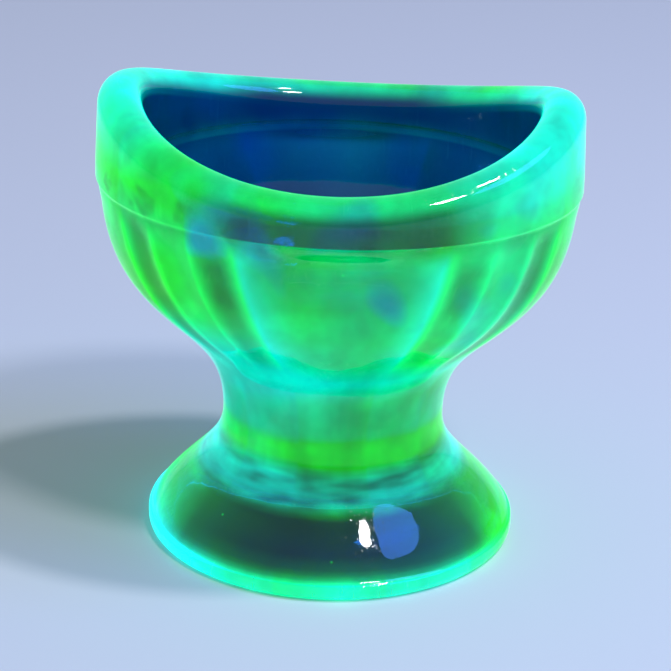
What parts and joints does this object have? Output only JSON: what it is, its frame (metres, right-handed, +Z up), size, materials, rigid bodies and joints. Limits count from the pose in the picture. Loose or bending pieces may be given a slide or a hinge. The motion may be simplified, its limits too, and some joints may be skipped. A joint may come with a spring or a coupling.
{
  "type": "eye bath",
  "caption": "Pressed-glass eye bath: oval panelled bowl with a saddle-shaped rim that seals round the eye, on a waisted neck and a hollow bell foot.",
  "frame": {"origin": "centre of the circle that the foot stands on", "axes": "+X along the bowl's long way, -Y towards its front, +Z up through the mouth"},
  "size_m": [0.0508, 0.0398, 0.0494],
  "materials": {
    "uranium_glass": "fire-polished pressed glass that glows green under ultraviolet light"
  },
  "bodies": {
    "root": {"foot_ring": "uranium_glass", "bell_foot": "uranium_glass", "neck": "uranium_glass", "panelled_bowl": "uranium_glass", "collar_band": "uranium_glass", "eye_rim": "uranium_glass"}
  },
  "joints": []
}
